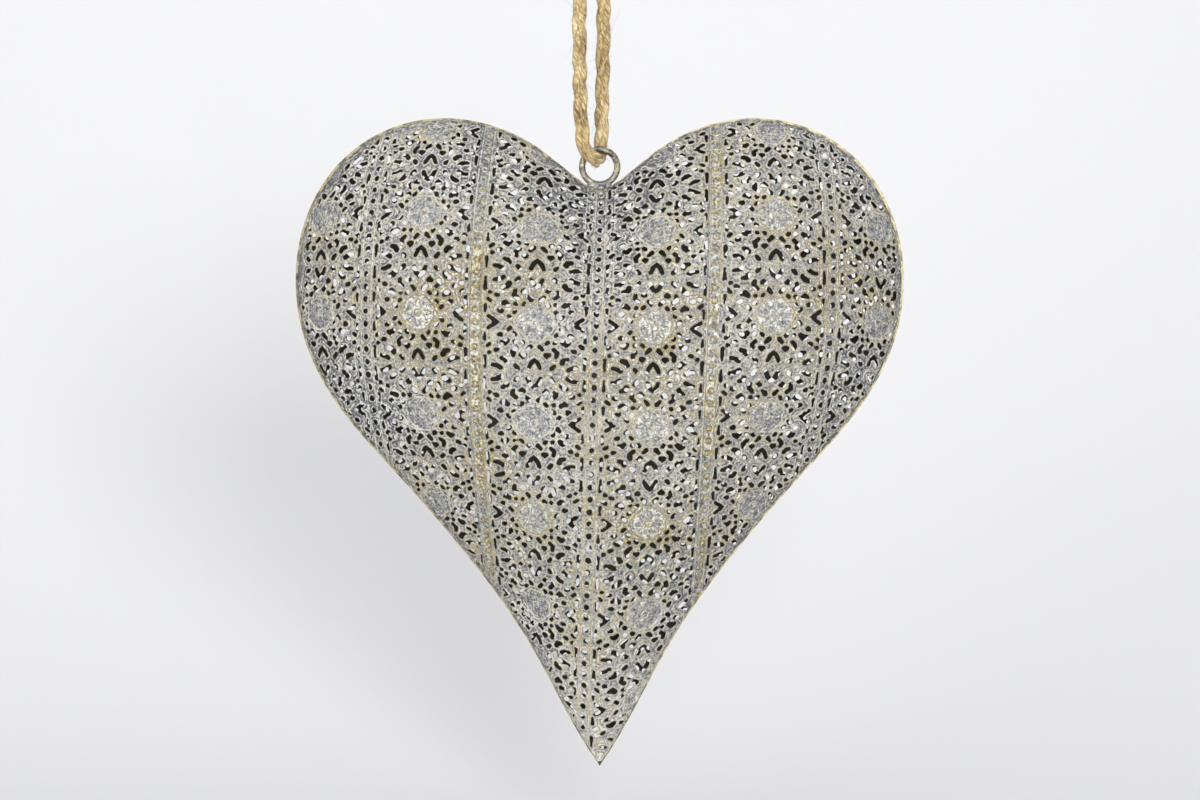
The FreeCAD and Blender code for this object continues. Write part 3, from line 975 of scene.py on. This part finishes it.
def sheet_holes(sheet):
    """The openings of a strip in the picture plane that lie clear of its edges."""
    cell = cell_holes()
    plan = []
    for column in COLUMNS:
        for row in ROWS:
            centre = np.array((column * CELL_U, row * CELL_V))
            plan += [outline + centre for outline in cell]
    plan += [DOT + (0, row * CELL_V / DOTS) for row in range(ROWS.start * DOTS, ROWS.stop * DOTS)]
    # no two openings have quite the same size, shape and place
    uneven = []
    for outline in plan:
        middle = outline.mean(axis=0)
        size = random.uniform(*OPENING_SIZES)
        wobble = random.normal(0, CORNER_SPREAD, outline.shape)
        uneven.append(middle + (outline - middle) * size + wobble + random.normal(0, PLACE_SPREAD, 2))
    holes = []
    punched = np.zeros(len(uneven), bool)
    # an opening that would break the edge is punched smaller or left out
    for share in (1.0, SMALL_OPENING):
        flat = np.concatenate([outline.mean(axis=0) * (1 - share) + outline * share for outline in uneven])
        near = np.abs(sheet.flat(*flat.T)[0]) < HALF_WIDTH * 1.4
        x, z = sheet.placed(*flat.T)
        clear = sheet.spans(x, z, HOLE_TO_EDGE) & near
        start = 0
        for number, outline in enumerate(uneven):
            stretch = slice(start, start + len(outline))
            start += len(outline)
            if clear[stretch].all() and not punched[number]:
                punched[number] = True
                hole = np.stack([x[stretch], z[stretch]], axis=1)
                anticlockwise = np.cross(hole, np.roll(hole, -1, axis=0)).sum() > 0
                holes.append(hole if anticlockwise else hole[::-1])
    return holes


# the embossing in millimetres: how high each form stands, where it lies and how wide its slope is
MEDALLION_HEIGHT = 0.26
MEDALLION_RADIUS = 7.6
MEDALLION_SLOPE = 1.1
LIP_HEIGHT = 0.22
LIP_SLOPE = 0.45
BAND_EDGE_HEIGHT = 0.18
BAND_EDGE = 1.8
BAND_EDGE_SLOPE = 0.5


def relief(u, v, hole_gap):
    """How high the embossing stands at a point of the pattern, in millimetres."""
    across = np.abs((u % CELL_U) - HALF_U)
    up = v - np.round(v / CELL_V) * CELL_V
    medallion = eased(np.clip((MEDALLION_RADIUS - np.hypot(across, up)) / MEDALLION_SLOPE, 0, 1))
    lip = np.exp(-((hole_gap / LIP_SLOPE) ** 2))
    edge = np.exp(-(((HALF_U - across - BAND_EDGE) / BAND_EDGE_SLOPE) ** 2))
    return LIP_HEIGHT * lip + MEDALLION_HEIGHT * medallion + BAND_EDGE_HEIGHT * edge


# slow waves over the sheet: their height, how quickly they follow each other, and for each one how fast
# it goes across and up, and where it starts
DENT_HEIGHT = 0.13
WAVE_RATE = 2.2
WAVES = [
    (0.061, 0.043, 0.5),
    (-0.038, 0.077, 1.9),
    (0.112, -0.052, 4.1),
    (0.021, 0.129, 2.7),
    (-0.093, -0.088, 5.2),
]


def dents(x, z):
    """The slow unevenness of hand-pressed sheet."""
    total = np.zeros_like(x)
    for along_x, along_z, phase in WAVES:
        total += np.sin(WAVE_RATE * (along_x * x + along_z * z) + phase)
    return DENT_HEIGHT * total


def lap_lift(sheet, x, z):
    """How far a strip stands over its neighbour: a whole sheet along its left seam, then a step down."""
    if not sheet.left_seam:
        return np.zeros_like(x)
    past = (x - seam_line(sheet.left_seam, z) - LAP) / LAP_STEP
    return SHEET * eased(np.clip(1 - past, 0, 1))


# the spacing of the triangles on the outside and on the inside, and how far off an opening the ring of
# points round it lies
GRID = 0.62
COARSE_GRID = 3.0
COLLAR = 0.4
# the inside face lies this deep under the outside one
INSIDE_DEPTH = 0.8 * SHEET
# where no opening is near, as along the border, the gap to one counts as this
FAR_FROM_HOLES = 5.0


def grid_points(sheet, spacing, hole_edges, clearance):
    """A triangular grid over a strip, without the points that are in or beside an opening or the edge."""
    across = np.arange(-HALF_WIDTH, HALF_WIDTH, spacing)
    up = np.arange(0, HEIGHT, spacing * math.sqrt(3) / 2)
    x, z = np.meshgrid(across, up)
    x = x + (np.arange(len(up)) % 2)[:, None] * spacing / 2
    grid = np.stack([x.ravel(), z.ravel()], axis=1)
    return clear_of_holes(grid[sheet.spans(*grid.T, clearance)], hole_edges, clearance)


def clear_of_holes(points, hole_edges, clearance):
    """The points that lie outside every opening by that much, and how far off the nearest edge is."""
    finder, spots, outward = hole_edges
    kept, gaps = [], []
    for point in points:
        _, index, gap = finder.find((*point, 0))
        away = point - spots[index]
        if gap > clearance and away.dot(outward[index]) > -0.25 * gap:
            kept.append(point)
            gaps.append(gap)
    return np.array(kept).reshape(-1, 2), np.array(gaps)


def edges_of(holes):
    """The points on the edges of the openings, with a finder of the nearest one and the way out at each."""
    spots = np.concatenate(holes)
    ahead = np.concatenate([np.roll(hole, -1, axis=0) - np.roll(hole, 1, axis=0) for hole in holes])
    finder = KDTree(len(spots))
    for index, spot in enumerate(spots):
        finder.insert((*spot, 0), index)
    finder.balance()
    return finder, spots, unit(np.stack([ahead[:, 1], -ahead[:, 0]], axis=1))


def triangles(points, loops):
    """Fills a border with triangles, leaves its holes open, and returns them anticlockwise."""
    faces = [list(loop) for loop in loops]
    found = delaunay_2d_cdt([Vector(point) for point in points], [], faces, 0, 1e-6, True)
    spots, _, shapes, origins, _, owners = found
    if len(spots) != len(points):
        raise RuntimeError("two openings cross: %d points became %d" % (len(points), len(spots)))
    # the border is the first loop, so a triangle of the sheet has that owner alone
    kept = [shape for shape, owner in zip(shapes, owners) if list(owner) == [0]]
    kept = np.array([origin[0] for origin in origins])[np.array(kept)]
    first, second, third = points[kept[:, 0]], points[kept[:, 1]], points[kept[:, 2]]
    turn = np.cross(second - first, third - first)
    kept[turn < 0] = kept[turn < 0][:, ::-1]
    return kept


def lifted(sheet, points, hole_gap, depth):
    """Points of the picture plane brought onto the shell, this deep under its face, and their pattern."""
    x, z = points[:, 0], points[:, 1]
    height, outness = shell_height(x, z)
    u, v = sheet.pattern(x, z)
    # nothing is embossed on the last fiftieth before the rim
    fade = np.clip((1 - outness) / 0.02, 0, 1)
    height = height + lap_lift(sheet, x, z) + (relief(u, v, hole_gap) + dents(x, z)) * fade
    return np.stack([x, -(RIM_HALF + height) + depth, z], axis=1), np.stack([u, v, hole_gap], axis=1)


def pierced_strip(sheet, side):
    """One strip of the shell: pierced, embossed, with its thickness, in the place of its plain solid."""
    border = sheet_border(sheet)
    holes = sheet_holes(sheet)
    loops, start = [], 0
    for loop in [border] + holes:
        loops.append(range(start, start + len(loop)))
        start += len(loop)
    hole_edges = edges_of(holes)
    _, hole_points, outward = hole_edges
    cut_points = np.concatenate([border, hole_points])
    cut_gaps = np.r_[np.full(len(border), FAR_FROM_HOLES), np.zeros(len(hole_points))]
    # the outside has fine triangles, with a ring of points round each opening for its lip
    collar, collar_gap = clear_of_holes(hole_points + outward * COLLAR, hole_edges, COLLAR * 0.9)
    inside = sheet.spans(*collar.T, 0.2)
    grid, grid_gap = grid_points(sheet, GRID, hole_edges, COLLAR * 1.45)
    outer_points = np.concatenate([cut_points, collar[inside], grid])
    outer = triangles(outer_points, loops)
    outer_gaps = np.r_[cut_gaps, collar_gap[inside], grid_gap]
    outer_spots, outer_pattern = lifted(sheet, outer_points, outer_gaps, 0.0)
    # the inside is seen through the openings only, so its triangles are wide
    coarse, _ = grid_points(sheet, COARSE_GRID, hole_edges, 0.8)
    inner_points = np.concatenate([cut_points, coarse])
    inner = triangles(inner_points, loops)[:, ::-1]
    inner_gaps = np.r_[cut_gaps, np.full(len(coarse), FAR_FROM_HOLES)]
    inner_spots, inner_pattern = lifted(sheet, inner_points, inner_gaps, INSIDE_DEPTH)
    # the cut edges join the two
    spots = np.concatenate([outer_spots, inner_spots])
    shift = len(outer_spots)
    edges = np.concatenate([outer[:, [0, 1]], outer[:, [1, 2]], outer[:, [2, 0]]])
    codes = np.sort(edges, axis=1) @ np.array([len(spots), 1])
    _, index, count = np.unique(codes, return_index=True, return_counts=True)
    cut = edges[index[count == 1]]
    walls = np.stack([cut[:, 1], cut[:, 0], cut[:, 0] + shift, cut[:, 1] + shift], axis=1)
    if side == "back":
        spots = spots * (-1, -1, 1)
    piece = new_piece(
        "%s_%s_sheet" % (side, sheet.name),
        spots * MM + TIP,
        [*outer.tolist(), *(inner + shift).tolist(), *walls.tolist()],
        "heart",
        ["washed_tin", "rust_and_painted_shade_inside"],
        ["%s_%s_strip" % (side, sheet.name)],
    )
    mesh = piece.data
    finishes = np.zeros(len(mesh.polygons), int)
    finishes[len(outer) : len(outer) + len(inner)] = 1
    mesh.polygons.foreach_set("material_index", finishes)
    pattern = mesh.attributes.new("pattern", "FLOAT_VECTOR", "POINT")
    pattern.data.foreach_set("vector", np.concatenate([outer_pattern, inner_pattern]).ravel())
    sharp = set(map(tuple, np.sort(np.concatenate([cut, cut + shift]), axis=1).tolist()))
    pairs = np.zeros(len(mesh.edges) * 2, int)
    mesh.edges.foreach_get("vertices", pairs)
    pairs = np.sort(pairs.reshape(-1, 2), axis=1).tolist()
    creases = mesh.attributes.new("sharp_edge", "BOOLEAN", "EDGE")
    creases.data.foreach_set("value", [tuple(pair) in sharp for pair in pairs])


# where each sheet's pattern lies: its shift from the crown, its turn and its stretch in pressing
SHEETS = {
    "left": ((-77.5, 24.9), -0.045, (1.032, 1.033), None, LEFT_SEAM_SHARES),
    "centre": ((-1.15, 19.6), -0.035, (1.018, 1.0), LEFT_SEAM_SHARES, RIGHT_SEAM_SHARES),
    "right": ((76.8, 22.7), -0.019, (1.056, 1.027), RIGHT_SEAM_SHARES, None),
}
# the back's sheets were pressed from another stretch of the same pattern
BACK_SHIFT = np.array((1.6, -9.5))

for side in ("front", "back"):
    for name, (shift, turn, stretch, left_seam, right_seam) in SHEETS.items():
        moved = np.array(shift) + (BACK_SHIFT if side == "back" else 0)
        pierced_strip(Sheet(name, moved, turn, stretch, left_seam, right_seam), side)

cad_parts["rim_seam"].data.materials[0] = FINISHES["brazed_rim"]
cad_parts["hanging_ring"].data.materials[0] = FINISHES["dark_wire"]


# lumps of solder grown together: each one's place across and up from the notch, its reach and its
# depth, and how far they all reach up and down
LUMPS = [(0.0, 1.5, 2.2, 2.0), (-2.5, 2.2, 1.6, 1.6), (2.4, 2.1, 1.7, 1.7), (0.4, -0.4, 1.6, 1.6)]
LUMP_RISE = 1.3
LUMP_RINGS = 11
LUMP_CORNERS = 24


def solder_lump():
    """The run of solder that beds the ring in the notch: a few lumps grown together, rough all over."""
    notch = OUTLINE_SHARES[0][1] * HEIGHT
    points, faces = [], []
    for x, rise, reach, depth in LUMPS:
        faces += skin(LUMP_RINGS, LUMP_CORNERS, len(points))
        for ring in range(1, LUMP_RINGS + 1):
            tilt = math.pi * ring / (LUMP_RINGS + 1)
            for corner in range(LUMP_CORNERS):
                turn = 2 * math.pi * corner / LUMP_CORNERS
                way = (math.sin(tilt) * math.cos(turn), math.cos(tilt), math.sin(tilt) * math.sin(turn))
                rough = 1 + 0.08 * math.sin(5 * way[0] + 3 * x) + 0.07 * math.sin(7 * way[2] + 4 * way[1])
                across, deep, up = (measure * rough for measure in way)
                points.append((x + reach * across, depth * deep, notch + rise + LUMP_RISE * up))
    spots = np.array(points) * MM + TIP
    new_piece("solder_run", spots, faces, "heart", ["soft_solder"], ["ring_solder"])


solder_lump()


# the set: a pale sweep of paper and soft light


def matt_paper(add):
    """Matt white paper, seen only from the side of the ornament: a picture from behind looks past it."""
    from_behind = add("NewGeometry")["Backfacing"]
    seen = add("Math", (1.0, from_behind), operation="SUBTRACT")[0]
    return {"Base Color": hex_colour("#D8D8D9"), "Roughness": 0.9, "Alpha": seen}


# the floor lies a little under the tip; the sweep between floor and wall is a quarter of a circle
FLOOR_Z = float(TIP[2]) - 0.02
FLOOR_FRONT = -2.6
WALL_Y = 0.65
WALL_TOP = 2.4
SWEEP = 0.6
SWEEP_STEPS = 16
PAPER_SIDE = 3.0
profile = [(FLOOR_FRONT, FLOOR_Z)]
for step in range(SWEEP_STEPS + 1):
    angle = step / SWEEP_STEPS * math.pi / 2
    profile.append((WALL_Y - SWEEP + SWEEP * math.sin(angle), FLOOR_Z + SWEEP - SWEEP * math.cos(angle)))
profile.append((WALL_Y, WALL_TOP))
paper_mesh = bpy.data.meshes.new("paper")
paper_points = [(x, y, z) for y, z in profile for x in (-PAPER_SIDE, PAPER_SIDE)]
paper_faces = [(low, low + 1, low + 3, low + 2) for low in range(0, 2 * len(profile) - 2, 2)]
paper_mesh.from_pydata(paper_points, [], paper_faces)
paper_mesh.polygons.foreach_set("use_smooth", [True] * len(paper_mesh.polygons))
paper_mesh.materials.append(finish(matt_paper))
paper = bpy.data.objects.new("paper", paper_mesh)
bpy.context.scene.collection.objects.link(paper)


def soft_light(name, place, aim, size, power):
    """A square white soft box at a place, turned to a point."""
    data = bpy.data.lights.new(name, "AREA")
    data.shape = "SQUARE"
    data.size = size
    data.energy = power
    light = bpy.data.objects.new(name, data)
    light.location = place
    light.rotation_euler = (Vector(aim) - Vector(place)).to_track_quat("-Z", "Y").to_euler()
    bpy.context.scene.collection.objects.link(light)


MIDDLE = (0.0, 0.0, -0.14)
soft_light("key", (0.34, -1.75, 0.12), MIDDLE, 0.5, 22.5)
soft_light("fill", (-1.2, -1.4, 0.0), MIDDLE, 0.9, 12)
soft_light("paper_light", (0.0, 0.35, 1.1), (0.0, WALL_Y, -0.3), 1.0, 8.0)
world = bpy.data.worlds.new("room")
world.use_nodes = True
room_light = world.node_tree.nodes["Background"].inputs
room_light["Color"].default_value = hex_colour("#F4F5F8")
room_light["Strength"].default_value = 0.51
bpy.context.scene.world = world
bpy.context.scene.view_settings.view_transform = "Standard"
